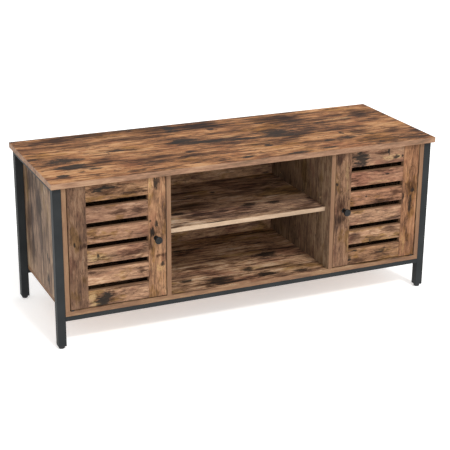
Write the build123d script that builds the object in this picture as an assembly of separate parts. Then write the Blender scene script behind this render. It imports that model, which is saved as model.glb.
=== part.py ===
from build123d import *
import os

# A low television stand: a carcass of chipboard panels held between two welded
# steel end frames, with a slatted door on each side of an open middle bay.
# Millimetres, X along the length, Y towards the back, Z up. The origin is on the
# floor at the middle of the overall box, whose front is the face of the knobs.

# Overall sizes
LENGTH = 1100
TOP_DEPTH = 400
HEIGHT = 450
TOP_THICKNESS = 15
BOARD = 12
SIDE_OVERHANG = 6
FRONT_OVERHANG = 11
EDGE_ROUND = 0.6

# Steel frame
TUBE = 22
RAIL_HEIGHT = 13
WALL = 1.2
TUBE_CORNER = 1.8
FRAME_BOTTOM = 8
INSERT_LIP = 1.5
BOARD_BOTTOM = 89

# Bays
DIVIDER_INNER = 233
SHELF_BOTTOM = 264
SHELF_SETBACK = 29
SHELF_SIDE_GAP = 0.5
BACK_THICKNESS = 3
BACK_INSET = 12
GROOVE = 4

# Doors
DOOR_THICKNESS = 15
DOOR_RECESS = 1
DOOR_HINGE_GAP = 2.5
DOOR_FREE_GAP = 2
DOOR_END_GAP = 3.5
STILE = 48
SLAT_PITCH = 56
SLAT_HEIGHT = 41
SLAT_COUNT = 4
SLAT_THICKNESS = 12
SLAT_SETBACK = 1.5
TENON = 8
PIVOT_INSET = 5
PIN_RADIUS = 2
KNOB_REACH = 24
KNOB_FROM_EDGE = 28

# Positions that follow from the sizes
HALF = LENGTH / 2
KNOB_PAST_TOP = KNOB_REACH - FRONT_OVERHANG - DOOR_RECESS
TOP_BACK = (TOP_DEPTH + KNOB_PAST_TOP) / 2
TOP_FRONT = TOP_BACK - TOP_DEPTH
FRAME_FRONT = TOP_FRONT + FRONT_OVERHANG
FRAME_BACK = TOP_BACK - FRONT_OVERHANG
POST_OUTER = HALF - SIDE_OVERHANG
POST_INNER = POST_OUTER - TUBE
SIDE_INNER = POST_INNER - BOARD
DIVIDER_OUTER = DIVIDER_INNER + BOARD
TOP_BOTTOM = HEIGHT - TOP_THICKNESS
BASE_TOP = BOARD_BOTTOM + BOARD
RAIL_BOTTOM = BOARD_BOTTOM - RAIL_HEIGHT
BACK_PLANE = FRAME_BACK - BACK_INSET
MIDDLE_Y = (FRAME_FRONT + FRAME_BACK) / 2
FRONT_POST_Y = FRAME_FRONT + TUBE / 2
BACK_POST_Y = FRAME_BACK - TUBE / 2
SIDE_CENTRE = SIDE_INNER + BOARD / 2
DIVIDER_CENTRE = DIVIDER_INNER + BOARD / 2
DOOR_FACE = FRAME_FRONT + DOOR_RECESS
DOOR_BACK = DOOR_FACE + DOOR_THICKNESS
DOOR_OUTER = SIDE_INNER - DOOR_HINGE_GAP
DOOR_FREE = DIVIDER_OUTER + DOOR_FREE_GAP
DOOR_BOTTOM = BASE_TOP + DOOR_END_GAP
DOOR_TOP = TOP_BOTTOM - DOOR_END_GAP
DOOR_MIDDLE = (DOOR_BOTTOM + DOOR_TOP) / 2
PIVOT_X = DOOR_OUTER - PIVOT_INSET
PIVOT_Y = DOOR_FACE + PIVOT_INSET
KNOB_X = DOOR_FREE + KNOB_FROM_EDGE

# Fastener rows, as distances from the middle of the depth
CAM_ROW = 130
DOWEL_ROW = 60
PIN_ROW_FRONT = FRAME_FRONT + 60
PIN_ROW_BACK = FRAME_BACK - 70

AT_START = (Align.CENTER, Align.CENTER, Align.MIN)
UP = (0, 0, 1)
DOWN = (0, 0, -1)
TO_FRONT = (0, -1, 0)


def block(x, y, z, rounding=0):
    """A block between three (low, high) pairs, with its edges rounded."""
    size = (x[1] - x[0], y[1] - y[0], z[1] - z[0])
    solid = Pos(sum(x) / 2, sum(y) / 2, sum(z) / 2) * Box(*size)
    return fillet(solid.edges(), rounding) if rounding else solid


def rod(start, direction, length, radius):
    """A round bar from start along direction."""
    return Plane(origin=start, z_dir=direction) * Cylinder(radius, length, align=AT_START)


def mirrored(shape):
    """The same piece on the other side of the stand."""
    return mirror(shape, about=Plane.YZ)


def both_sides(solids):
    """The solids and their mirror images."""
    return solids + [mirrored(solid) for solid in solids]


def cut(shape, tools):
    """The shape with every tool taken away."""
    for tool in tools:
        shape = shape - tool
    return shape


def screw_space(head, into, length, radius, head_radius, head_height, sunk):
    """The whole outside of a screw whose head's outer face is centred on head."""
    plane = Plane(origin=head, z_dir=into)
    if sunk:
        cap = Cone(head_radius, radius, head_height, align=AT_START)
    else:
        cap = Cylinder(head_radius, head_height, align=AT_START)
    return plane * (cap + Cylinder(radius, length, align=AT_START))


def socketed(space, head, into, across=3.0, depth=1.6):
    """A screw made from its outside by sinking a hexagon socket in its head."""
    hexagon = extrude(RegularPolygon(across / 2, 6), depth)
    return space - Plane(origin=head, z_dir=into) * hexagon


def screws(places, into, length, radius, head_radius, head_height, sunk=False):
    """Matching lists of screws and of the spaces that they fill."""
    sizes = (into, length, radius, head_radius, head_height, sunk)
    spaces = [screw_space(head, *sizes) for head in places]
    made = [socketed(space, head, into) for space, head in zip(spaces, places)]
    return made, spaces


# Joining hardware, made first because the boards are bored by it

BOLT_RADIUS = 2.5
BOLT_NECK_RADIUS = 1.6
BOLT_IN_TOP = 10
BOLT_SHANK = 14
BOLT_NECK = 8
BOLT_HEAD = 4
BOLT_REACH = BOLT_SHANK + BOLT_NECK + BOLT_HEAD
CAM_DEPTH = 9
CAM_RADIUS = 6
CAM_Z = TOP_BOTTOM - BOLT_REACH + BOLT_HEAD / 2
CAM_SLOT = (8, 1.4)
DOWEL_LENGTH = 30
DOWEL_RADIUS = 3
DOWEL_IN_TOP = 10
DOWEL_IN_BASE = 8


def cam_bolt(x, y):
    """A bolt screwed into the top board, with a neck and head that the cam pulls down."""
    thread = rod((x, y, TOP_BOTTOM - BOLT_SHANK), UP, BOLT_SHANK + BOLT_IN_TOP, BOLT_RADIUS)
    neck = rod((x, y, TOP_BOTTOM - BOLT_SHANK - BOLT_NECK), UP, BOLT_NECK, BOLT_NECK_RADIUS)
    head = rod((x, y, TOP_BOTTOM - BOLT_REACH), UP, BOLT_HEAD, BOLT_RADIUS)
    return thread + neck + head


def cam_pocket(face_x, inward, y):
    """The round pocket in an upright that a cam fills."""
    return rod((face_x, y, CAM_Z), (inward, 0, 0), CAM_DEPTH, CAM_RADIUS)


def cam_lock(face_x, inward, y):
    """A cam in the upright's cupboard face, notched for the bolt's head."""
    throat_floor = CAM_Z - BOLT_HEAD / 2 - 0.2
    throat_radius = BOLT_RADIUS + 0.2
    throat = rod((face_x + inward * BOARD / 2, y, throat_floor), UP, CAM_DEPTH, throat_radius)
    width, height = CAM_SLOT
    slot = block(
        (face_x - 1, face_x + 1), (y - width / 2, y + width / 2), (CAM_Z - height / 2, CAM_Z + height / 2)
    )
    return cam_pocket(face_x, inward, y) - throat - slot


def dowel(x, y, low):
    """A round beech dowel with chamfered ends."""
    pin = rod((x, y, low), UP, DOWEL_LENGTH, DOWEL_RADIUS)
    return chamfer(pin.edges().filter_by(GeomType.CIRCLE), 0.6)


cam_rows = (MIDDLE_Y - CAM_ROW, MIDDLE_Y + CAM_ROW)
dowel_rows = (MIDDLE_Y - DOWEL_ROW, MIDDLE_Y + DOWEL_ROW)
uprights = (-SIDE_CENTRE, -DIVIDER_CENTRE)
cam_bolts = both_sides([cam_bolt(x, y) for x in uprights for y in cam_rows])
cam_faces = ((-SIDE_INNER, -1), (-DIVIDER_OUTER, 1))
cam_locks = both_sides([cam_lock(face, inward, y) for face, inward in cam_faces for y in cam_rows])
cam_pockets = both_sides([cam_pocket(face, inward, y) for face, inward in cam_faces for y in cam_rows])
cam_bolt_holes = both_sides([
    rod((x, y, TOP_BOTTOM - BOLT_REACH), UP, BOLT_REACH, BOLT_RADIUS + 0.5)
    for x in uprights for y in cam_rows
])
dowel_starts = (TOP_BOTTOM + DOWEL_IN_TOP - DOWEL_LENGTH, BASE_TOP - DOWEL_IN_BASE)
dowels = both_sides([dowel(x, y, low) for x in uprights for y in dowel_rows for low in dowel_starts])

base_places = [(x, y, BOARD_BOTTOM) for x in uprights for y in cam_rows]
base_places += [(-x, y, z) for x, y, z in base_places]
base_screws, base_spaces = screws(base_places, UP, 45, 2.5, 4.5, 3, sunk=True)

SIDE_SCREW_INSET = 16.5
SIDE_SCREW_FROM_ENDS = 39
side_rows = (FRAME_FRONT + SIDE_SCREW_INSET, FRAME_BACK - SIDE_SCREW_INSET)
side_levels = (BASE_TOP + SIDE_SCREW_FROM_ENDS, DOOR_MIDDLE, TOP_BOTTOM - SIDE_SCREW_FROM_ENDS)
left_side_places = [(-SIDE_INNER, y, z) for y in side_rows for z in side_levels]
left_side_screws, left_side_spaces = screws(
    left_side_places, (-1, 0, 0), 25, 2, 3.8, 2.2, sunk=True
)


def rivet_nut(y, z):
    """A threaded insert set in a post's inner wall, flange towards the board."""
    flange = rod((-POST_INNER + 0.8, y, z), (-1, 0, 0), 0.8, 4.6)
    barrel = rod((-POST_INNER, y, z), (-1, 0, 0), 12, 3.2)
    return flange + barrel


left_nut_spaces = [rivet_nut(y, z) for y in side_rows for z in side_levels]
left_nuts = [cut(nut, left_side_spaces) for nut in left_nut_spaces]

RAIL_SCREW_HEAD = 2.2
BASE_RAIL_SCREW_X = 350
TOP_RAIL_SCREW_Y = 100
base_rail_spots = [
    (x, y) for x in (-BASE_RAIL_SCREW_X, 0, BASE_RAIL_SCREW_X) for y in (FRONT_POST_Y, BACK_POST_Y)
]
rail_screw_places = [(x, y, RAIL_BOTTOM - RAIL_SCREW_HEAD) for x, y in base_rail_spots]
TOP_RAIL_X = POST_INNER + TUBE / 2
rail_screw_places += [
    (x, MIDDLE_Y + y, TOP_BOTTOM - RAIL_HEIGHT - RAIL_SCREW_HEAD)
    for x in (-TOP_RAIL_X, TOP_RAIL_X) for y in (-TOP_RAIL_SCREW_Y, TOP_RAIL_SCREW_Y)
]
rail_screws, rail_spaces = screws(rail_screw_places, UP, 22, 2, 4, RAIL_SCREW_HEAD)

TONGUE = 30
TONGUE_WIDTH = 16
TONGUE_HEIGHT = 8
tongue_ends = (-POST_INNER + TONGUE / 2, POST_INNER - TONGUE / 2)
tongue_places = [
    (x, y, RAIL_BOTTOM - RAIL_SCREW_HEAD) for x in tongue_ends for y in (FRONT_POST_Y, BACK_POST_Y)
]
tongue_screws, tongue_spaces = screws(tongue_places, UP, 10, 2.5, 4.5, RAIL_SCREW_HEAD)


def tongue(x, y):
    """A bar welded to a post, over which the open end of a base rail slides."""
    floor = RAIL_BOTTOM + WALL
    width = (y - TONGUE_WIDTH / 2, y + TONGUE_WIDTH / 2)
    return block((x - TONGUE / 2, x + TONGUE / 2), width, (floor, floor + TONGUE_HEIGHT), 0.5)


tongues = [
    cut(tongue(x, y), tongue_spaces) for x in tongue_ends for y in (FRONT_POST_Y, BACK_POST_Y)
]


SHELF_PIN_RADIUS = 2.5
SHELF_PIN_HOLE = 8
SHELF_PIN_COLLAR = 3
SPARE_HOLE_RISE = 32
pin_z = SHELF_BOTTOM - SHELF_PIN_COLLAR


def shelf_pin(x, y):
    """A steel pin, half in a divider and half under the shelf, with a collar between."""
    stem = rod((x - SHELF_PIN_HOLE, y, pin_z), (1, 0, 0), 2 * SHELF_PIN_HOLE, SHELF_PIN_RADIUS)
    collar = rod((x, y, pin_z), (1, 0, 0), 1.2, SHELF_PIN_COLLAR)
    return stem + collar


pin_rows = (PIN_ROW_FRONT, PIN_ROW_BACK)
shelf_pins = both_sides([shelf_pin(-DIVIDER_INNER, y) for y in pin_rows])
# A second row of holes lets the shelf be set 32 mm higher.
spare_holes = both_sides([
    rod((-DIVIDER_INNER - SHELF_PIN_HOLE, y, pin_z + SPARE_HOLE_RISE), (1, 0, 0), SHELF_PIN_HOLE,
        SHELF_PIN_RADIUS)
    for y in pin_rows
])

# Door pivots: a steel pin in each end of the hinge stile, turning in a plastic bush

BUSH_FLANGE = 2.5
BUSH_DEPTH = 8.5
PIN_IN_BUSH = 4.5
PIN_IN_DOOR = 20


def pivot_bush(mouth_z, away):
    """A flanged bush set in a board, its blind bore facing the door."""
    sleeve = rod((-PIVOT_X, PIVOT_Y, mouth_z), (0, 0, away), BUSH_DEPTH, 4)
    flange = rod((-PIVOT_X, PIVOT_Y, mouth_z), (0, 0, -away), BUSH_FLANGE, 5.5)
    bore_start = (-PIVOT_X, PIVOT_Y, mouth_z - away * BUSH_FLANGE)
    bore = rod(bore_start, (0, 0, away), BUSH_FLANGE + PIN_IN_BUSH + 1, PIN_RADIUS + 0.1)
    return sleeve + flange, sleeve + flange - bore


bush_spaces = [pivot_bush(BASE_TOP, -1)[0], pivot_bush(TOP_BOTTOM, 1)[0]]
bushes = both_sides([pivot_bush(BASE_TOP, -1)[1], pivot_bush(TOP_BOTTOM, 1)[1]])
pin_length = PIN_IN_BUSH + DOOR_END_GAP + PIN_IN_DOOR
left_pivot_pins = [
    rod((-PIVOT_X, PIVOT_Y, BASE_TOP - PIN_IN_BUSH), UP, pin_length, PIN_RADIUS),
    rod((-PIVOT_X, PIVOT_Y, TOP_BOTTOM + PIN_IN_BUSH), DOWN, pin_length, PIN_RADIUS),
]

# Magnetic catches under the top, one behind the free edge of each door

CATCH_X = 272
CATCH_GAP = 1.5
CATCH_FRONT = DOOR_BACK + CATCH_GAP
CATCH_SIZE = 14
CATCH_CASE_HALF = 14
CATCH_EAR_HALF = 22
CATCH_EAR_THICKNESS = 2.5
CATCH_SCREW_HEAD = 1.8


def magnetic_catch():
    """A magnet case with two fixing ears, for the left cupboard."""
    deep = (CATCH_FRONT, CATCH_FRONT + CATCH_SIZE)
    ears = block(
        (-CATCH_X - CATCH_EAR_HALF, -CATCH_X + CATCH_EAR_HALF), deep,
        (TOP_BOTTOM - CATCH_EAR_THICKNESS, TOP_BOTTOM), 0.5,
    )
    case = block(
        (-CATCH_X - CATCH_CASE_HALF, -CATCH_X + CATCH_CASE_HALF), deep,
        (TOP_BOTTOM - CATCH_SIZE, TOP_BOTTOM - 1), 1,
    )
    return ears + case


ear_middle = (CATCH_CASE_HALF + CATCH_EAR_HALF) / 2
catch_head_z = TOP_BOTTOM - CATCH_EAR_THICKNESS - CATCH_SCREW_HEAD
catch_places = [
    (sign * (CATCH_X + dx), CATCH_FRONT + CATCH_SIZE / 2, catch_head_z)
    for sign in (-1, 1) for dx in (-ear_middle, ear_middle)
]
catch_screws, catch_spaces = screws(catch_places, UP, 14, 1.4, 2.8, CATCH_SCREW_HEAD)
catches = [cut(catch, catch_spaces) for catch in both_sides([magnetic_catch()])]

# Carcass boards


def back_groove(x, z):
    """The slot that takes an edge of a back panel."""
    return block(x, (BACK_PLANE, BACK_PLANE + BACK_THICKNESS), z)


def top_panel():
    """The 15 mm top, which stands on the end frames and the uprights."""
    board = block((-HALF, HALF), (TOP_FRONT, TOP_BACK), (TOP_BOTTOM, HEIGHT), EDGE_ROUND)
    groove = back_groove((-SIDE_INNER - GROOVE, SIDE_INNER + GROOVE), (TOP_BOTTOM, TOP_BOTTOM + GROOVE))
    bushes_above = both_sides([bush_spaces[1]])
    return cut(board, [groove] + cam_bolts + dowels + rail_spaces + bushes_above + catch_spaces)


def bottom_panel():
    """The base board, between the posts and on the two base rails."""
    board = block(
        (-POST_INNER, POST_INNER), (FRAME_FRONT, FRAME_BACK), (BOARD_BOTTOM, BASE_TOP), EDGE_ROUND
    )
    groove = back_groove((-SIDE_INNER - GROOVE, SIDE_INNER + GROOVE), (BASE_TOP - GROOVE, BASE_TOP))
    bushes_below = both_sides([bush_spaces[0]])
    return cut(board, [groove] + dowels + base_spaces + rail_spaces + bushes_below)


def left_upright(inner, outer, extra):
    """An upright of the left half, bored for its fittings and grooved by extra."""
    board = block(
        (-outer, -inner), (FRAME_FRONT, FRAME_BACK), (BASE_TOP, TOP_BOTTOM), EDGE_ROUND
    )
    return cut(board, cam_pockets + cam_bolt_holes + dowels + base_spaces + extra)


def left_side_panel():
    """The end board, screwed to the posts from inside the cupboard."""
    groove = back_groove((-SIDE_INNER - GROOVE, -SIDE_INNER), (BASE_TOP, TOP_BOTTOM))
    return left_upright(SIDE_INNER, POST_INNER, [groove] + left_side_spaces + left_nut_spaces)


def left_divider():
    """The board between the left cupboard and the middle bay."""
    height = (BASE_TOP, TOP_BOTTOM)
    grooves = [
        back_groove((-DIVIDER_OUTER, -DIVIDER_OUTER + GROOVE), height),
        back_groove((-DIVIDER_INNER - GROOVE, -DIVIDER_INNER), height),
    ]
    return left_upright(DIVIDER_INNER, DIVIDER_OUTER, grooves + shelf_pins + spare_holes)


def centre_shelf():
    """The loose shelf of the middle bay, on four pins."""
    half = DIVIDER_INNER - SHELF_SIDE_GAP
    front = FRAME_FRONT + SHELF_SETBACK
    level = (SHELF_BOTTOM, SHELF_BOTTOM + BOARD)
    return block((-half, half), (front, BACK_PLANE - 2), level, EDGE_ROUND)


def back_panel(x):
    """A thin backboard whose four edges sit in grooves."""
    height = (BASE_TOP - GROOVE, TOP_BOTTOM + GROOVE)
    return block(x, (BACK_PLANE, BACK_PLANE + BACK_THICKNESS), height)


left_back = back_panel((-SIDE_INNER - GROOVE, -DIVIDER_OUTER + GROOVE))
centre_back = back_panel((-DIVIDER_INNER - GROOVE, DIVIDER_INNER + GROOVE))

# Steel end frames and base rails


def hollow(outer, inner, corner):
    """A tube section between two (width, height) pairs."""
    return RectangleRounded(*outer, corner) - RectangleRounded(*inner, corner - WALL / 2)


def left_post(y):
    """A square tube post, its inner wall pierced for the rivet nuts."""
    inside = TUBE - 2 * WALL
    section = hollow((TUBE, TUBE), (inside, inside), TUBE_CORNER)
    bottom = FRAME_BOTTOM + INSERT_LIP
    centre = (-POST_OUTER + TUBE / 2, y, bottom)
    return cut(Pos(*centre) * extrude(section, TOP_BOTTOM - bottom), left_nut_spaces)


def rail(start, direction, length):
    """A flat rectangular tube along direction, lying on its broad side."""
    section = hollow((TUBE, RAIL_HEIGHT), (TUBE - 2 * WALL, RAIL_HEIGHT - 2 * WALL), TUBE_CORNER)
    across = (0, 1, 0) if direction == (1, 0, 0) else (1, 0, 0)
    tube = Plane(origin=start, x_dir=across, z_dir=direction) * extrude(section, length)
    return cut(tube, rail_spaces + tongue_spaces)


def base_rail(y):
    """A long rail under the front or back edge of the base board."""
    start = (-POST_INNER, y, RAIL_BOTTOM + RAIL_HEIGHT / 2)
    return rail(start, (1, 0, 0), 2 * POST_INNER)


def left_top_rail():
    """The rail welded between the two left posts, under the top."""
    start = (-TOP_RAIL_X, FRAME_FRONT + TUBE, TOP_BOTTOM - RAIL_HEIGHT / 2)
    return rail(start, (0, 1, 0), FRAME_BACK - FRAME_FRONT - 2 * TUBE)


# Feet

STUD_RADIUS = 4
STUD_LENGTH = 20
INSERT_HEIGHT = 22
PAD_RADIUS = 9
PAD_HEIGHT = 7.4


def foot_insert(x, y):
    """A plastic plug in the open end of a post, threaded for the foot's stud."""
    inside = TUBE - 2 * WALL
    lip = Pos(x, y, FRAME_BOTTOM) * extrude(RectangleRounded(TUBE, TUBE, TUBE_CORNER), INSERT_LIP)
    plug = extrude(RectangleRounded(inside, inside, TUBE_CORNER - WALL / 2), INSERT_HEIGHT)
    body = lip + Pos(x, y, FRAME_BOTTOM + INSERT_LIP) * plug
    return body - rod((x, y, FRAME_BOTTOM), UP, INSERT_HEIGHT, STUD_RADIUS + 0.1)


def levelling_foot(x, y):
    """A domed glide on a threaded stud that screws out to level the stand."""
    pad = rod((x, y, 0), UP, PAD_HEIGHT, PAD_RADIUS)
    pad = fillet(pad.edges().group_by(Axis.Z)[0], 2.5)
    pad = fillet(pad.edges().group_by(Axis.Z)[-1], 1.2)
    return pad + rod((x, y, PAD_HEIGHT), UP, STUD_LENGTH, STUD_RADIUS)


post_x = POST_OUTER - TUBE / 2
foot_spots = {
    "front_left_foot": (-post_x, FRONT_POST_Y),
    "rear_left_foot": (-post_x, BACK_POST_Y),
    "front_right_foot": (post_x, FRONT_POST_Y),
    "rear_right_foot": (post_x, BACK_POST_Y),
}
foot_inserts = [foot_insert(x, y) for x, y in foot_spots.values()]

# Left door: two stiles, two rails and four slats, with tenons let into the stiles


def crosspiece(low, high):
    """A rail or slat of the left door, tenoned into both stiles."""
    x = (-DOOR_OUTER + STILE - TENON, -DOOR_FREE - STILE + TENON)
    y = (DOOR_FACE + SLAT_SETBACK, DOOR_FACE + SLAT_SETBACK + SLAT_THICKNESS)
    return block(x, y, (low, high), 0.8)


def left_crosspieces():
    """The rails and slats of the left door by name, from the bottom up."""
    half_span = SLAT_COUNT / 2 * SLAT_PITCH
    slot = SLAT_PITCH - SLAT_HEIGHT
    lowest = DOOR_MIDDLE - half_span
    pieces = {"left_door_bottom_rail": crosspiece(DOOR_BOTTOM, lowest - slot / 2)}
    for number in range(SLAT_COUNT):
        low = lowest + number * SLAT_PITCH + slot / 2
        pieces[f"left_door_slat_{number + 1}"] = crosspiece(low, low + SLAT_HEIGHT)
    pieces["left_door_top_rail"] = crosspiece(DOOR_MIDDLE + half_span + slot / 2, DOOR_TOP)
    return pieces


def left_stile(x, cutters):
    """A full-height stile, mortised for the rails and slats."""
    return cut(block(x, (DOOR_FACE, DOOR_BACK), (DOOR_BOTTOM, DOOR_TOP), 1), cutters)


KNOB_RADIUS = 10
KNOB_HEAD = 8.5
KNOB_BASE_RADIUS = 6.5
KNOB_BASE = 2


def knob_blank():
    """A turned mushroom knob with its base on the door's face."""
    base = Cylinder(KNOB_BASE_RADIUS, KNOB_BASE, align=AT_START)
    base = fillet(base.edges().group_by(Axis.Z)[-1], KNOB_BASE / 2)
    neck = Pos(0, 0, KNOB_BASE - 0.5) * Cone(4.6, 4, KNOB_REACH - KNOB_HEAD - 0.5, align=AT_START)
    head = Pos(0, 0, KNOB_REACH - KNOB_HEAD) * Cylinder(KNOB_RADIUS, KNOB_HEAD, align=AT_START)
    head = fillet(head.edges().group_by(Axis.Z)[-1], 2.6)
    head = fillet(head.edges().group_by(Axis.Z)[0], 4.5)
    return base + neck + head


knob_head = (-KNOB_X, DOOR_BACK + 2, DOOR_MIDDLE)
knob_screw_space = screw_space(knob_head, TO_FRONT, 29, 2, 4, 2, False)
left_knob_screw = socketed(knob_screw_space, knob_head, TO_FRONT)
left_knob = Plane(origin=(-KNOB_X, DOOR_FACE, DOOR_MIDDLE), z_dir=TO_FRONT) * knob_blank()
left_knob = left_knob - knob_screw_space


def strike_plate():
    """A steel plate that the catch's magnet pulls, held by two spikes."""
    level = (DOOR_TOP - 13, DOOR_TOP - 1)
    plate = block((-CATCH_X - 17, -CATCH_X + 17), (DOOR_BACK, DOOR_BACK + 1.2), level, 0.3)
    spikes = [rod((-CATCH_X + dx, DOOR_BACK + 0.6, sum(level) / 2), TO_FRONT, 7, 1) for dx in (-10, 10)]
    return plate + spikes[0] + spikes[1]


left_strike = strike_plate()
crosspieces = left_crosspieces()
mortises = list(crosspieces.values())
left_door = {
    "left_door_hinge_stile": left_stile(
        (-DOOR_OUTER, -DOOR_OUTER + STILE), mortises + left_pivot_pins
    ),
    "left_door_latch_stile": left_stile(
        (-DOOR_FREE - STILE, -DOOR_FREE), mortises + [knob_screw_space, left_strike]
    ),
    **crosspieces,
    "left_door_knob": left_knob,
    "left_door_knob_screw": left_knob_screw,
    "left_door_strike_plate": left_strike,
    "left_door_pivot_pins": Compound(children=left_pivot_pins),
}

# Every piece by name. What is made for the left is mirrored for the right.

left_pieces = {
    "left_side_panel": left_side_panel(),
    "left_divider": left_divider(),
    "left_back_panel": left_back,
    "front_left_post": left_post(FRONT_POST_Y),
    "rear_left_post": left_post(BACK_POST_Y),
    "left_top_rail": left_top_rail(),
    **left_door,
}
right_pieces = {name.replace("left", "right"): mirrored(piece) for name, piece in left_pieces.items()}
shared_pieces = {
    "top_panel": top_panel(),
    "bottom_panel": bottom_panel(),
    "centre_shelf": centre_shelf(),
    "centre_back_panel": centre_back,
    "front_base_rail": base_rail(FRONT_POST_Y),
    "rear_base_rail": base_rail(BACK_POST_Y),
    **{name: levelling_foot(*spot) for name, spot in foot_spots.items()},
}
fastener_groups = {
    "rail_tongues": tongues,
    "rail_tongue_screws": tongue_screws,
    "rail_screws": rail_screws,
    "side_panel_screws": both_sides(left_side_screws),
    "rivet_nuts": both_sides(left_nuts),
    "cam_locks": cam_locks,
    "cam_bolts": cam_bolts,
    "wood_dowels": dowels,
    "base_screws": base_screws,
    "shelf_pins": shelf_pins,
    "foot_inserts": foot_inserts,
    "pivot_bushes": bushes,
    "magnetic_catches": catches,
    "catch_screws": catch_screws,
}
groups = {name: Compound(children=solids) for name, solids in fastener_groups.items()}

os.makedirs("parts", exist_ok=True)
for name, piece in {**left_pieces, **right_pieces, **shared_pieces, **groups}.items():
    export_step(piece, f"parts/{name}.step")
    print(name)
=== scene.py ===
import math

import bpy
from mathutils import Matrix, Quaternion, Vector


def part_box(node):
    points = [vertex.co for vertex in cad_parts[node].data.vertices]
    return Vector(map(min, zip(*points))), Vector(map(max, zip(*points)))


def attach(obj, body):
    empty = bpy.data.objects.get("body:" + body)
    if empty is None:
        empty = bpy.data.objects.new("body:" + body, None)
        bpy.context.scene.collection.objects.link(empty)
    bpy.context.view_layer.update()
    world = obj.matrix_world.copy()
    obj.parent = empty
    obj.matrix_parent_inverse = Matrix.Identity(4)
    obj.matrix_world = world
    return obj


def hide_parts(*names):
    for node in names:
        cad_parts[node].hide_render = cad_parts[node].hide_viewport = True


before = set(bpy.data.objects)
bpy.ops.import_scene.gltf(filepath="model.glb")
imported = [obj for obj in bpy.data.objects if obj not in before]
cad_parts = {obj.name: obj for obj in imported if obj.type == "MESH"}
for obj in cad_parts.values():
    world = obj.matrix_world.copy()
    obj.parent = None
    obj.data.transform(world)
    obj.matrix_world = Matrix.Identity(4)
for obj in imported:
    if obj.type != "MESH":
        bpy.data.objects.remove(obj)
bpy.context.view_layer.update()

# Carcass boards -------------------------------------------------------------------------
# Chipboard 12 and 15 mm thick, pressed with melamine paper that is printed as weathered,
# rough-sawn timber. The print runs along each board, every outer edge is closed with a
# paler printed band, and raw chips show only inside the grooves and drilled holes.


def linear(colour):
    """The scene-linear RGBA of an sRGB hex colour."""
    channels = [int(colour[i:i + 2], 16) / 255 for i in (1, 3, 5)]
    return [c / 12.92 if c <= 0.04045 else ((c + 0.055) / 1.055) ** 2.4 for c in channels] + [1]


def add(tree, kind, links, stops=None, **settings):
    """Adds a node with its settings and colour stops, and links or fills its sockets."""
    node = tree.nodes.new("ShaderNode" + kind)
    for name, value in settings.items():
        setattr(node, name, value)
    for number, (position, colour) in enumerate(stops or []):
        elements = node.color_ramp.elements
        element = elements[number] if number < 2 else elements.new(position)
        element.position = position
        element.color = linear(colour)
    for name, value in links.items():
        if isinstance(value, bpy.types.Node):
            value = value.outputs[0]
        if isinstance(value, bpy.types.NodeSocket):
            tree.links.new(value, node.inputs[name])
        else:
            node.inputs[name].default_value = value
    return node


def new_material(name, **constants):
    """A material with its shader's constant sockets set, its tree and its object coordinates."""
    material = bpy.data.materials.new(name)
    material.use_nodes = True
    tree = material.node_tree
    shader = tree.nodes["Principled BSDF"]
    for socket, value in constants.items():
        shader.inputs[socket.replace("_", " ")].default_value = value
    return material, tree, shader, tree.nodes.new("ShaderNodeTexCoord")


def finish_with(material, *nodes):
    """Gives CAD nodes a material in place of their plain one."""
    for node in nodes:
        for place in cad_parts[node].material_slots:
            place.material = material


MM = 0.001

# The print's colours from its dark grain to its light grain: warm on the top, plainer on the
# doors and the end boards, paler on the boards inside. Then those of the edge bands.
WARM_PRINT = [
    (0.40, "#3b271b"), (0.45, "#65432c"), (0.49, "#885b3b"), (0.53, "#a16e46"), (0.57, "#b58155"),
    (0.63, "#c5966b"),
]
PLAIN_PRINT = [
    (0.40, "#3a2c25"), (0.45, "#62493b"), (0.49, "#84644e"), (0.53, "#9e795e"), (0.57, "#b18e70"),
    (0.63, "#c0a389"),
]
PALE_PRINT = [
    (0.40, "#46362e"), (0.45, "#775a49"), (0.49, "#9d7a60"), (0.53, "#bb9371"), (0.57, "#d1ab88"),
    (0.63, "#e3c7a9"),
]
BAND = [(0.38, "#654e3e"), (0.50, "#7b5c46"), (0.62, "#8c6f54")]
TOP_BAND = [(0.38, "#6d5543"), (0.50, "#8b6953"), (0.62, "#a38267")]
SHELF_BAND = [(0.38, "#9b846e"), (0.50, "#ab927a"), (0.62, "#bba38a")]


def marks_field(tree, place, marks, grain, depth):
    """The distance to the nearest printed mark, 0 at its middle and 1 at its outline.
    A mark is (place along the grain, place across it, length, width, faintness), in mm."""
    across = 3 - grain - depth
    nearest = None
    for along_at, across_at, length, width, faint in marks:
        scale = [0.0] * 3
        shift = [faint] * 3
        scale[grain] = 2 / length
        scale[across] = 2 / width
        shift[grain] = -along_at * scale[grain]
        shift[across] = -across_at * scale[across]
        local = add(tree, "Mapping", {"Vector": place, "Scale": scale, "Location": shift})
        reach = add(tree, "VectorMath", {0: local}, operation="LENGTH").outputs["Value"]
        if nearest is not None:
            reach = add(tree, "Math", {0: nearest, 1: reach}, operation="MINIMUM")
        nearest = reach
    return nearest


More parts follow.
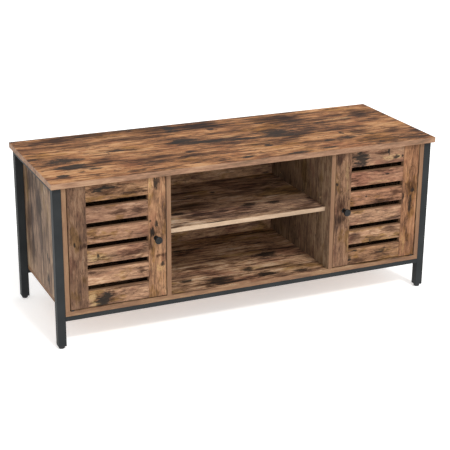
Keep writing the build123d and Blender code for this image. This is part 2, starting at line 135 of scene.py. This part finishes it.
def rustic_board(
    node, grain, depth, seed, knots=(), smudges=(), chips=(), tone_and_shade_tint="#ffffff",
    face=PALE_PRINT, band=BAND, contrast=1.0, width=1.0, raw_back=False,
):
    """Melamine-faced chipboard with a rough-sawn timber print: matt and dry, with a low relief.
    grain and depth are the axes, 0 to 2, of the printed grain and of the board's thickness.
    knots, smudges and pale chips are lists of marks. contrast and width are those of the
    printed figure, and the tint colours it all: a board's own tone, and on some boards inside
    a painted shade. raw_back leaves the rear face unprinted."""
    material, tree, shader, coords = new_material(
        "rustic_melamine_" + node, Roughness=0.6, Specular_IOR_Level=0.12
    )
    low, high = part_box(node)
    millimetres = add(
        tree, "VectorMath", {0: coords.outputs["Object"], "Scale": 1 / MM}, operation="SCALE"
    )

    # The print wanders by up to 9 mm along the grain and 3 mm across it.
    wander = add(tree, "TexNoise", {"Vector": millimetres, "Scale": 1 / 34, "Detail": 3.0})
    swing = [6.0] * 3
    swing[grain] = 18.0
    offset = add(
        tree, "VectorMath", {0: wander.outputs["Color"], 1: swing, 2: [-s / 2 for s in swing]},
        operation="MULTIPLY_ADD",
    )
    place = add(tree, "VectorMath", {0: millimetres, 1: offset}, operation="ADD")

    # Layers of the print: the length and the width of their figure in mm, and their detail
    layers = {}
    for layer, length, across, detail in (
        ("tone", 150, 48, 5), ("hue", 130, 60, 3), ("smoke", 85, 26, 6), ("streak", 72, 7.0, 6),
        ("pore", 20, 2.2, 4), ("drag", 42, 7.0, 6), ("fleck", 13, 5.0, 4),
    ):
        scale = [1 / across / width] * 3
        scale[grain] = 1 / length / width
        shift = [seed * 3.7 + len(layers) * 11.3, seed * 9.1, seed * 5.3]
        spread = add(tree, "Mapping", {"Vector": place, "Scale": scale, "Location": shift})
        layers[layer] = add(
            tree, "TexNoise", {"Vector": spread, "Scale": 1.0, "Detail": detail, "Roughness": 0.7}
        )

    # Tone, streaks and pores together choose the colour, and their mean falls mid-ramp.
    figure = add(tree, "Math", {0: layers["tone"], 1: 0.40, 2: -0.11}, operation="MULTIPLY_ADD")
    figure = add(tree, "Math", {0: layers["streak"], 1: 0.55, 2: figure}, operation="MULTIPLY_ADD")
    figure = add(tree, "Math", {0: layers["pore"], 1: 0.27, 2: figure}, operation="MULTIPLY_ADD")
    figure = add(
        tree, "Math", {0: figure, 1: contrast, 2: 0.51 - 0.5 * contrast}, operation="MULTIPLY_ADD"
    )
    wood = add(tree, "ValToRGB", {"Fac": figure}, stops=face)

    # Patches of mauve-grey and of olive, then smoke, dark drags and short flecks along the grain
    colour = wood
    for source, start, end, strength, blend, hexcode in (
        (layers["hue"], 0.53, 0.66, 0.80, "MULTIPLY", "#d9c8ca"),
        (layers["hue"], 0.47, 0.36, 0.85, "MULTIPLY", "#d6cfa6"),
        (layers["smoke"], 0.55, 0.63, 0.65 * contrast, "MULTIPLY", "#958880"),
        (layers["drag"], 0.59, 0.63, 0.65 * contrast, "MIX", "#453125"),
        (layers["fleck"], 0.64, 0.67, 0.75 * contrast, "MIX", "#33251c"),
    ):
        share = add(
            tree, "MapRange",
            {"Value": source, "From Min": start, "From Max": end, "To Max": strength},
            interpolation_type="SMOOTHSTEP",
        )
        colour = add(
            tree, "Mix", {"Factor": share, 6: colour, 7: linear(hexcode)}, data_type="RGBA",
            blend_type=blend,
        ).outputs[2]

    # A net of hairline cracks in cells 55 mm long and 7 mm wide, open where the smoke is strong
    net_scale = [1 / 7 / width] * 3
    net_scale[grain] = 1 / 55 / width
    crazed = add(
        tree, "VectorMath", {0: layers["pore"].outputs["Color"], "Scale": 4.0}, operation="SCALE"
    )
    crazed = add(tree, "VectorMath", {0: place, 1: crazed}, operation="ADD")
    crazed = add(tree, "Mapping", {"Vector": crazed, "Scale": net_scale})
    net = add(tree, "TexVoronoi", {"Vector": crazed, "Scale": 1.0}, feature="DISTANCE_TO_EDGE")
    thin = add(tree, "MapRange", {"Value": net, "From Min": 0.075, "From Max": 0.0, "To Max": 0.9})
    open_at = add(
        tree, "MapRange", {"Value": layers["smoke"], "From Min": 0.44, "From Max": 0.58, "To Max": 0.8}
    )
    share = add(tree, "Math", {0: thin, 1: open_at}, operation="MULTIPLY")
    colour = add(
        tree, "Mix", {"Factor": share, 6: colour, 7: linear("#3a2a20")}, data_type="RGBA"
    ).outputs[2]

    # Smudges, pale chips and knots that sit at known places of this board, with torn outlines
    torn = add(tree, "Math", {0: layers["drag"], 1: -4.0, 2: 3.4}, operation="MULTIPLY_ADD")
    torn = add(tree, "Math", {0: layers["pore"], 1: -2.8, 2: torn}, operation="MULTIPLY_ADD")
    for marks, edge, core, strength, blend, hexcode in (
        (smudges, 1.5, 0.4, 0.90, "MULTIPLY", "#7d7069"),
        (chips, 1.2, 0.7, 0.55, "MIX", "#bf9f73"),
        (knots, 1.25, 0.85, 0.92, "MIX", "#241f1b"),
    ):
        if not marks:
            continue
        reach = marks_field(tree, place, marks, grain, depth)
        ragged = add(tree, "Math", {0: reach, 1: torn}, operation="ADD")
        share = add(
            tree, "MapRange",
            {"Value": ragged, "From Min": edge, "From Max": core, "To Max": strength},
            interpolation_type="SMOOTHSTEP",
        )
        colour = add(
            tree, "Mix", {"Factor": share, 6: colour, 7: linear(hexcode)}, data_type="RGBA",
            blend_type=blend,
        ).outputs[2]
        if marks is chips:
            # Dark curls round the pale heart of a swirl in the grain
            ring = add(tree, "Math", {0: ragged, 1: 0.22}, operation="PINGPONG")
            curl = add(tree, "MapRange", {"Value": ring, "From Min": 0.08, "From Max": 0.02})
            curl = add(tree, "Math", {0: curl, 1: share}, operation="MULTIPLY")
            colour = add(
                tree, "Mix", {"Factor": curl, 6: colour, 7: linear("#3b2f22")}, data_type="RGBA"
            ).outputs[2]
    colour = add(
        tree, "Mix", {"Factor": 1.0, 6: colour, 7: linear(tone_and_shade_tint)}, data_type="RGBA", blend_type="MULTIPLY"
    ).outputs[2]

    # The edge band where the surface turns away from the face
    normal = add(tree, "SeparateXYZ", {"Vector": coords.outputs["Normal"]})
    facing = add(tree, "Math", {0: normal.outputs[depth]}, operation="ABSOLUTE")
    is_face = add(tree, "MapRange", {"Value": facing, "From Min": 0.6, "From Max": 0.8})
    strip = add(tree, "ValToRGB", {"Fac": figure}, stops=band)
    colour = add(
        tree, "Mix", {"Factor": is_face, 6: strip, 7: colour}, data_type="RGBA"
    ).outputs[2]

    if raw_back:
        fibre = add(
            tree, "ValToRGB", {"Fac": layers["pore"]}, stops=[(0.3, "#67462c"), (0.7, "#8b6542")]
        )
        is_back = add(
            tree, "MapRange", {"Value": normal.outputs[depth], "From Min": 0.6, "From Max": 0.8}
        )
        colour = add(
            tree, "Mix", {"Factor": is_back, 6: colour, 7: fibre}, data_type="RGBA"
        ).outputs[2]

    # Raw chips, about 1.6 mm wide, on every surface inside the outline that isn't a face
    centre = (low + high) / 2 / MM
    half = (high - low) / 2 / MM
    reach = [h - 1.5 for h in half]
    reach[depth] = 9999.0
    inward = add(tree, "VectorMath", {0: millimetres, 1: centre}, operation="SUBTRACT")
    inward = add(tree, "VectorMath", {0: inward}, operation="ABSOLUTE")
    inward = add(tree, "VectorMath", {0: inward, 1: reach}, operation="SUBTRACT")
    sides = add(tree, "SeparateXYZ", {"Vector": inward})
    outline = add(tree, "Math", {0: sides.outputs[0], 1: sides.outputs[1]}, operation="MAXIMUM")
    outline = add(tree, "Math", {0: outline, 1: sides.outputs[2]}, operation="MAXIMUM")
    outside = add(tree, "Math", {0: outline, 1: 0.0}, operation="GREATER_THAN")
    outside = add(tree, "Math", {0: outside, 1: is_face}, operation="MAXIMUM")
    chip = add(tree, "TexVoronoi", {"Vector": millimetres, "Scale": 1 / 1.6})
    core = add(
        tree, "ValToRGB", {"Fac": chip.outputs["Color"]}, stops=[(0.2, "#b08d62"), (0.8, "#e3cda5")]
    )
    colour = add(tree, "Mix", {"Factor": outside, 6: core, 7: colour}, data_type="RGBA").outputs[2]

    height = add(tree, "Math", {0: layers["streak"], 1: layers["pore"]}, operation="ADD")
    relief = add(tree, "Bump", {"Height": height, "Strength": 0.25, "Distance": 0.4 * MM})
    tree.links.new(colour, shader.inputs["Base Color"])
    tree.links.new(relief.outputs[0], shader.inputs["Normal"])
    finish_with(material, node)


X, Y, Z = 0, 1, 2
rustic_board(
    "top_panel", X, Z, 1, face=WARM_PRINT, band=TOP_BAND, contrast=1.35, width=1.75,
    knots=[
        (-463, -78, 84, 42, 0.0), (-462, -20, 76, 38, 0.2), (-503, -143, 30, 20, 0.1),
        (-452, -128, 24, 12, 0.1), (-408, -112, 30, 12, 0.3), (-315, 18, 40, 14, 0.4),
        (-130, -62, 40, 12, 0.1), (-55, 6, 150, 26, 0.0), (-108, 38, 80, 44, 0.35),
        (45, -6, 90, 20, 0.1), (165, 22, 90, 48, 0.3), (150, -12, 110, 28, 0.1),
        (88, -85, 24, 26, 0.3), (-12, -165, 40, 20, 0.35), (318, -102, 56, 22, 0.2),
        (262, -106, 34, 8, 0.3), (400, -90, 40, 9, 0.35), (140, -180, 70, 14, 0.3),
        (225, -168, 60, 14, 0.35), (160, 122, 34, 12, 0.3), (5, 118, 18, 30, 0.3),
        (-100, 168, 40, 46, 0.45), (330, -60, 14, 40, 0.5),
    ],
    smudges=[
        (-375, -62, 70, 40, 0.3), (-500, -76, 60, 22, 0.4), (-245, -82, 130, 34, 0.25),
        (-150, 26, 60, 26, 0.3), (-100, -100, 160, 26, 0.4), (-230, 115, 130, 56, 0.2),
        (-480, 112, 180, 26, 0.1), (-350, 105, 120, 34, 0.25), (220, 152, 170, 70, 0.05),
        (-60, 160, 300, 60, 0.25), (-400, 165, 240, 50, 0.4), (470, -90, 40, 44, 0.5),
        (130, -60, 120, 40, 0.55), (480, 110, 60, 70, 0.45), (380, -60, 80, 50, 0.5),
    ],
    chips=[(20, 28, 60, 16, 0.55), (-330, 20, 70, 12, 0.65), (400, 85, 100, 14, 0.65)],
)
rustic_board(
    "bottom_panel", X, Z, 2, tone_and_shade_tint="#e8e6e4", contrast=1.2, width=1.6,
    knots=[
        (-75, -130, 80, 50, 0.2), (-50, -160, 100, 14, 0.2), (60, -140, 60, 26, 0.1),
        (165, -155, 50, 14, 0.3), (-165, -108, 30, 14, 0.35), (125, -10, 60, 36, 0.3),
        (30, -95, 30, 24, 0.3), (-60, 105, 80, 16, 0.35),
    ],
)
# The shelf's bluish-white tint is a painted shade: the cool grey of the shadow in the bay, laid into its
# print.
rustic_board(
    "centre_shelf", X, Z, 3, tone_and_shade_tint="#f2f8ff", band=SHELF_BAND, contrast=1.1, width=1.6,
    knots=[
        (-165, -55, 40, 16, 0.3), (-90, 52, 50, 12, 0.4), (-5, 78, 16, 14, 0.3),
        (45, -55, 40, 22, 0.3), (120, -65, 40, 20, 0.4), (-90, -150, 70, 8, 0.35),
    ],
    smudges=[(-100, -10, 120, 50, 0.5), (50, 40, 160, 40, 0.4)],
)
rustic_board(
    "left_side_panel", Z, X, 4, face=PLAIN_PRINT, tone_and_shade_tint="#e4f1fa", contrast=0.72, width=1.9,
    knots=[(200, -35, 34, 10, 0.35), (195, -50, 12, 14, 0.3), (135, -35, 26, 20, 0.35)],
    smudges=[
        (320, 40, 90, 60, 0.2), (175, 110, 80, 70, 0.15), (370, 100, 70, 110, 0.3),
        (260, 130, 90, 60, 0.3), (235, 10, 70, 40, 0.4), (410, -60, 40, 120, 0.45),
    ],
    chips=[(158, -30, 12, 10, 0.5)],
)
rustic_board(
    "right_side_panel", Z, X, 5, face=PLAIN_PRINT, tone_and_shade_tint="#e6f0f4", contrast=0.55, width=1.2,
    knots=[(210, 60, 40, 18, 0.2), (340, -80, 26, 14, 0.3)], smudges=[(150, -60, 80, 50, 0.4)],
)
# The dividers' dark blue-grey tints are a painted shade: the cool shadow on their faces inside the bay
# and the cupboards.
rustic_board("left_divider", Z, X, 6, tone_and_shade_tint="#b9c4cd", contrast=0.5)
rustic_board("right_divider", Z, X, 7, tone_and_shade_tint="#c4cdd3", contrast=0.6)

# Doors ----------------------------------------------------------------------------------
# Each door is a frame of two stiles and two rails with four slats between them, tenoned
# and glued, cut from the same printed board. Each piece has its own part of the print.

for node, grain, seed, tone_and_shade_tint, knots, smudges, chips in (
    (
        "left_door_hinge_stile", Z, 11, "#b8b6b7",
        [(280, -492, 14, 5, 0.4)], [(271, -470, 12, 30, 0.4)], [],
    ),
    (
        "left_door_latch_stile", Z, 12, "#f5eee2",
        [
            (307, -274, 18, 9, 0.1), (420, -273, 30, 16, 0.35), (318, -290, 8, 7, 0.3),
            (195, -258, 10, 9, 0.4), (284, -284, 18, 12, 0.35),
        ],
        [(283, -282, 24, 20, 0.2), (219, -262, 9, 40, 0.35), (250, -290, 30, 16, 0.5)],
        [(410, -289, 50, 7, 0.4), (185, -268, 22, 36, 0.65)],
    ),
    (
        "left_door_top_rail", X, 13, "#f4f0e4",
        [(-405, 420, 60, 9, 0.15), (-425, 414, 30, 6, 0.3)],
        [(-400, 415, 110, 30, 0.35), (-330, 400, 80, 14, 0.5)], [],
    ),
    (
        "left_door_slat_4", X, 14, "#e0dbde", [],
        [(-372, 352, 60, 11, 0.1), (-315, 349, 60, 12, 0.35)], [],
    ),
    ("left_door_slat_3", X, 15, "#ebe6e6", [], [(-425, 290, 60, 8, 0.4)], []),
    (
        "left_door_slat_2", X, 16, "#ffffff", [(-430, 242, 6, 11, 0.1)],
        [(-335, 236, 90, 20, 0.2), (-300, 245, 30, 20, 0.4)], [(-440, 235, 60, 30, 0.7)],
    ),
    (
        "left_door_slat_1", X, 17, "#ffffff", [],
        [(-315, 185, 20, 16, 0.35), (-440, 196, 50, 10, 0.4)], [],
    ),
    (
        "left_door_bottom_rail", X, 18, "#ffffff",
        [(-420, 116, 30, 24, 0.25), (-408, 130, 30, 18, 0.4)],
        [(-415, 125, 70, 40, 0.3), (-390, 133, 14, 20, 0.3), (-360, 146, 120, 6, 0.3)],
        [(-450, 130, 20, 22, 0.25), (-440, 110, 30, 10, 0.4)],
    ),
    (
        "right_door_latch_stile", Z, 21, "#cdc9c6", [(345, 252, 8, 7, 0.1)],
        [(415, 256, 40, 22, 0.25), (245, 262, 30, 34, 0.3), (290, 268, 60, 26, 0.45)],
        [(360, 283, 70, 14, 0.6)],
    ),
    (
        "right_door_hinge_stile", Z, 22, "#e3d3c4",
        [(262, 486, 46, 11, 0.2), (298, 492, 12, 10, 0.35), (285, 463, 20, 5, 0.4)],
        [(310, 490, 40, 34, 0.35), (200, 476, 60, 10, 0.5)], [(150, 470, 60, 14, 0.7)],
    ),
    (
        "right_door_top_rail", X, 23, "#ffffff",
        [
            (325, 410, 38, 44, 0.25), (412, 418, 6, 16, 0.2), (434, 403, 14, 8, 0.15),
            (452, 405, 5, 7, 0.2),
        ],
        [(390, 418, 60, 10, 0.3), (300, 415, 60, 40, 0.45)],
        [(441, 403, 13, 12, 0.15), (415, 405, 60, 16, 0.6)],
    ),
    (
        "right_door_slat_4", X, 24, "#f4e8e8", [(412, 358, 9, 4, 0.2)],
        [(395, 370, 70, 8, 0.4), (305, 352, 40, 16, 0.5)], [(390, 338, 60, 6, 0.5)],
    ),
    (
        "right_door_slat_3", X, 25, "#f8ebe6", [(345, 298, 7, 5, 0.2), (298, 290, 5, 4, 0.4)],
        [(400, 281, 110, 10, 0.4), (440, 300, 40, 20, 0.55)], [],
    ),
    ("right_door_slat_2", X, 26, "#ffffff", [], [(440, 226, 60, 10, 0.4)], []),
    (
        "right_door_slat_1", X, 27, "#ffffff", [(364, 168, 4, 5, 0.3)],
        [(312, 182, 46, 30, 0.2), (428, 193, 50, 20, 0.3), (445, 170, 40, 10, 0.4)], [],
    ),
    (
        "right_door_bottom_rail", X, 28, "#eee8dc",
        [(405, 132, 30, 12, 0.35), (315, 143, 20, 5, 0.4), (300, 120, 14, 20, 0.5)],
        [(400, 125, 60, 24, 0.4), (330, 112, 80, 14, 0.4)], [],
    ),
):
    rustic_board(
        node, grain, Y, seed, knots, smudges, chips, tone_and_shade_tint, face=PLAIN_PRINT, contrast=0.6, width=0.75
    )

# Back panels ----------------------------------------------------------------------------
# 3 mm hardboard in grooves of the boards, closing the two cupboards and the open bay. It is
# printed like the boards on its inner face and raw brown fibre on the outer.

# The two back panels inside the closed cupboards take a dark grey tint, a painted shade for the dark
# inside seen through the door slots; the open bay's panel keeps its print.
for node, seed, tone_and_shade_tint in (
    ("left_back_panel", 50, "#8a8480"), ("centre_back_panel", 51, "#ffffff"),
    ("right_back_panel", 52, "#8a8480"),
):
    rustic_board(node, X, Y, seed, tone_and_shade_tint=tone_and_shade_tint, contrast=0.7, raw_back=True)

# Steel frame ----------------------------------------------------------------------------
# Square and rectangular mild steel tube, welded and powder coated in black. The coat has a
# fine orange peel, and each weld under a top rail shows as a rippled bead.


def mottled(name, grain, dark, light, peel, **constants):
    """A finish that wavers between two colours, with a fine relief. grain and peel are in mm."""
    material, tree, shader, coords = new_material(name, **constants)
    place = coords.outputs["Object"]
    cloud = add(tree, "TexNoise", {"Vector": place, "Scale": 1 / (grain * MM), "Detail": 4.0})
    shade = add(tree, "ValToRGB", {"Fac": cloud}, stops=[(0.35, dark), (0.65, light)])
    grit = add(tree, "TexNoise", {"Vector": place, "Scale": 1 / (peel * MM), "Detail": 2.0})
    relief = add(tree, "Bump", {"Height": grit, "Strength": 0.2, "Distance": 0.1 * peel * MM})
    tree.links.new(shade.outputs[0], shader.inputs["Base Color"])
    tree.links.new(relief.outputs[0], shader.inputs["Normal"])
    return material


def turned(name, start, axis, sides, profile):
    """A closed round form along axis from start, through pairs of distance and radius."""
    along = Vector((0, 0, 0))
    along[axis] = 1
    turn = (0, math.radians(90), 0) if axis == X else (0, 0, 0)
    bpy.ops.object.select_all(action="DESELECT")
    bpy.ops.mesh.primitive_circle_add(
        vertices=sides, radius=profile[0][1], fill_type="NGON", location=start, rotation=turn
    )
    piece = bpy.context.object
    piece.name = name
    bpy.ops.object.mode_set(mode="EDIT")
    for (before, radius), (distance, next_radius) in zip(profile, profile[1:]):
        bpy.ops.mesh.extrude_region_move(
            TRANSFORM_OT_translate={"value": along * (distance - before)}
        )
        bpy.ops.transform.resize(
            value=[next_radius / radius] * 3, center_override=Vector(start) + along * distance
        )
    bpy.ops.mesh.select_all(action="SELECT")
    bpy.ops.mesh.normals_make_consistent(inside=False)
    bpy.ops.object.mode_set(mode="OBJECT")
    bpy.ops.object.transform_apply(location=True, rotation=True, scale=True)
    bpy.ops.object.shade_smooth_by_angle(angle=math.radians(40))
    return piece


def copied(piece, name, offset):
    """Another of a modelled piece, with its own mesh moved by offset."""
    copy = bpy.data.objects.new(name, piece.data.copy())
    copy.data.transform(Matrix.Translation(offset))
    bpy.context.collection.objects.link(copy)
    return copy


# Epoxy-polyester powder coat: charcoal black and nearly matt, with a slight orange peel
coat = mottled(
    "black_powder_coat", 90, "#27292a", "#2f3132", 1.2, Roughness=0.5, Specular_IOR_Level=0.08
)
finish_with(
    coat, "front_left_post", "rear_left_post", "front_right_post", "rear_right_post",
    "left_top_rail", "right_top_rail", "front_base_rail", "rear_base_rail", "rail_tongues",
)

BEAD_RADIUS = 1.6 * MM
BEAD_RIPPLES = 9
low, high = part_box("left_top_rail")
bead_length = high.x - low.x - 2 * BEAD_RADIUS
ripple = bead_length / (2 * BEAD_RIPPLES + 1)
bead_profile = [(0, 0.5 * BEAD_RADIUS)]
for number in range(BEAD_RIPPLES):
    bead_profile.append(((2 * number + 1) * ripple, BEAD_RADIUS))
    bead_profile.append(((2 * number + 2) * ripple, 0.8 * BEAD_RADIUS))
bead_profile.append((bead_length, 0.5 * BEAD_RADIUS))
first_bead = turned(
    "front_left_weld", (low.x + BEAD_RADIUS, low.y, low.z), X, 12, bead_profile
)
across = Vector((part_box("right_top_rail")[0].x - low.x, 0, 0))
back = Vector((0, high.y - low.y, 0))
beads = [
    first_bead,
    copied(first_bead, "rear_left_weld", back),
    copied(first_bead, "front_right_weld", across),
    copied(first_bead, "rear_right_weld", across + back),
]
for bead in beads:
    bead.data.materials.append(coat)
    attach(bead, "stand")

# Levelling glides -----------------------------------------------------------------------
# A polypropylene pad with twelve finger flutes and a domed sole, moulded in one with its
# threaded stud, which screws up into a plug in the bottom of each leg.

# Moulded black polypropylene: matt and very slightly uneven
glide_plastic = mottled("black_polypropylene", 14, "#101011", "#17181a", 0.8, Roughness=0.55, IOR=1.49)
finish_with(glide_plastic, "foot_inserts")

PAD_SIDES = 48
THREAD_PITCH = 1.25 * MM
low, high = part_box("front_left_foot")
centre = (low + high) / 2
pad_radius = (high.x - low.x) / 2
pad_height = 7.4 * MM
stud_radius = 4 * MM
glide_profile = [
    (0, pad_radius - 2.5 * MM), (0.7 * MM, pad_radius - 0.8 * MM), (2.5 * MM, pad_radius),
    (pad_height - 1.2 * MM, pad_radius), (pad_height, pad_radius - 1.2 * MM), (pad_height, stud_radius),
]
turn_start = pad_height
while turn_start + THREAD_PITCH < high.z:
    for share, radius in ((0.1, 3.4 * MM), (0.4, stud_radius), (0.6, stud_radius), (0.9, 3.4 * MM)):
        glide_profile.append((turn_start + share * THREAD_PITCH, radius))
    turn_start += THREAD_PITCH
first_glide = turned("front_left_glide", (centre.x, centre.y, low.z), Z, PAD_SIDES, glide_profile)

# Every other pair of the pad's side edges is drawn in by 8 percent to leave twelve flutes.
for vertex in first_glide.data.vertices:
    out = vertex.co - centre
    column = round(math.atan2(out.y, out.x) / (2 * math.pi / PAD_SIDES))
    on_side = 2 * MM < vertex.co.z < 7 * MM and math.hypot(out.x, out.y) > 0.8 * pad_radius
    vertex.select = on_side and column % 4 < 2
bpy.ops.object.mode_set(mode="EDIT")
bpy.ops.transform.resize(value=(0.92, 0.92, 1), center_override=centre)
bpy.ops.object.mode_set(mode="OBJECT")

for corner in ("front_left", "rear_left", "front_right", "rear_right"):
    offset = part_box(corner + "_foot")[0] - low
    glide = first_glide
    if corner != "front_left":
        glide = copied(first_glide, corner + "_glide", offset)
    glide.data.materials.clear()
    glide.data.materials.append(glide_plastic)
    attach(glide, corner + "_foot_screw")
    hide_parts(corner + "_foot")

# Knobs ----------------------------------------------------------------------------------
# Turned zinc mushrooms under black lacquer, one on the inner stile of each door, each held by
# a machine screw from inside the door.

# Black lacquer: smoother and deeper than the powder coat, with a soft highlight
lacquer = mottled(
    "black_lacquer", 6, "#090a0a", "#0f1011", 2.5,
    Roughness=0.3, Specular_IOR_Level=0.28, Coat_Weight=0.06,
)
finish_with(lacquer, "left_door_knob", "right_door_knob")

# Fasteners and fittings -----------------------------------------------------------------
# Flat-pack hardware: plated steel screws and pins, die-cast cams, beech dowels, moulded
# pivot bushes and the cases of the magnetic catches.

# Bright zinc plate over steel: silver with a faint blue and straw bloom
zinc_plate = mottled("bright_zinc_plate", 3, "#a4a9b0", "#c3c2b8", 0.5, Metallic=1.0, Roughness=0.34)
finish_with(
    zinc_plate, "rail_tongue_screws", "rail_screws", "side_panel_screws", "rivet_nuts", "cam_bolts",
    "base_screws", "shelf_pins", "catch_screws", "left_door_knob_screw", "right_door_knob_screw",
    "left_door_strike_plate", "right_door_strike_plate", "left_door_pivot_pins", "right_door_pivot_pins",
)

# Die-cast zinc alloy: duller and grainier than plate
cast_zinc = mottled("cast_zinc_alloy", 2, "#7d7f82", "#98999b", 0.8, Metallic=1.0, Roughness=0.52)
finish_with(cast_zinc, "cam_locks")

# Kiln-dried beech: pale pink-brown with short darker rays
beech, tree, shader, coords = new_material("beech", Roughness=0.6)
ray_scale = [1 / (0.7 * MM), 1 / (0.7 * MM), 1 / (6 * MM)]
spread = add(tree, "Mapping", {"Vector": coords.outputs["Object"], "Scale": ray_scale})
rays = add(tree, "TexNoise", {"Vector": spread, "Scale": 1.0, "Detail": 3.0})
shade = add(tree, "ValToRGB", {"Fac": rays}, stops=[(0.40, "#a87b4e"), (0.55, "#cda777")])
tree.links.new(shade.outputs[0], shader.inputs["Base Color"])
finish_with(beech, "wood_dowels")

# Moulded nylon: black, with a silky sheen where the pins turn
nylon = mottled("black_nylon", 5, "#131415", "#1c1d1f", 0.6, Roughness=0.4, IOR=1.53)
finish_with(nylon, "pivot_bushes")

# Moulded polystyrene case in the brown of the boards
catch_case = mottled("brown_catch_plastic", 8, "#3d2819", "#4a3223", 0.8, Roughness=0.45)
finish_with(catch_case, "magnetic_catches")

# Camera, light and floor ----------------------------------------------------------------
# A white floor that glows faintly, so that shadows stay pale, under an even white world with
# a soft key light and a wider fill from the front. The camera looks from the front left.

bpy.ops.object.select_all(action="DESELECT")
bpy.ops.mesh.primitive_plane_add(size=60)
floor = bpy.context.object
floor.name = "studio_floor"
floor_material, tree, shader, coords = new_material("matt_white_floor", Roughness=0.9)
shader.inputs["Base Color"].default_value = linear("#f6f6f5")
shader.inputs["Emission Color"].default_value = (1, 1, 1, 1)
shader.inputs["Emission Strength"].default_value = 0.4
floor.data.materials.append(floor_material)

world = bpy.data.worlds.new("studio_world")
world.use_nodes = True
world.node_tree.nodes["Background"].inputs["Color"].default_value = (1, 1, 1, 1)
world.node_tree.nodes["Background"].inputs["Strength"].default_value = 0.7
bpy.context.scene.world = world

bpy.ops.object.light_add(type="SUN")
key = bpy.context.object
key.name = "key_light"
key.data.energy = 1.5
key.data.angle = math.radians(9)
KEY_AZIMUTH = math.radians(9)
KEY_ELEVATION = math.radians(50)
toward = Vector((
    math.sin(KEY_AZIMUTH) * math.cos(KEY_ELEVATION),
    -math.cos(KEY_AZIMUTH) * math.cos(KEY_ELEVATION),
    math.sin(KEY_ELEVATION),
))
key.rotation_mode = "QUATERNION"
key.rotation_quaternion = (-toward).to_track_quat("-Z", "Y")

bpy.ops.object.light_add(type="SUN")
fill = bpy.context.object
fill.name = "front_fill"
fill.data.energy = 0.8
fill.data.angle = math.radians(40)
fill.rotation_euler = (math.radians(62), 0, math.radians(-12))

AZIMUTH = math.radians(-24.04)
ELEVATION = math.radians(20.0)
ROLL = math.radians(0.45)
DISTANCE = 3.448
LENS_MM = 98.3
TARGET = Vector((0.003, 0.006, 0.201))
back = Vector((
    math.sin(AZIMUTH) * math.cos(ELEVATION),
    -math.cos(AZIMUTH) * math.cos(ELEVATION),
    math.sin(ELEVATION),
))
bpy.ops.object.camera_add(location=TARGET + back * DISTANCE)
camera = bpy.context.object
camera.name = "camera"
camera.rotation_mode = "QUATERNION"
camera.rotation_quaternion = (-back).to_track_quat("-Z", "Y") @ Quaternion((0, 0, 1), ROLL)
camera.data.lens = LENS_MM
camera.data.sensor_width = 36
bpy.context.scene.camera = camera
bpy.context.scene.view_settings.view_transform = "Standard"
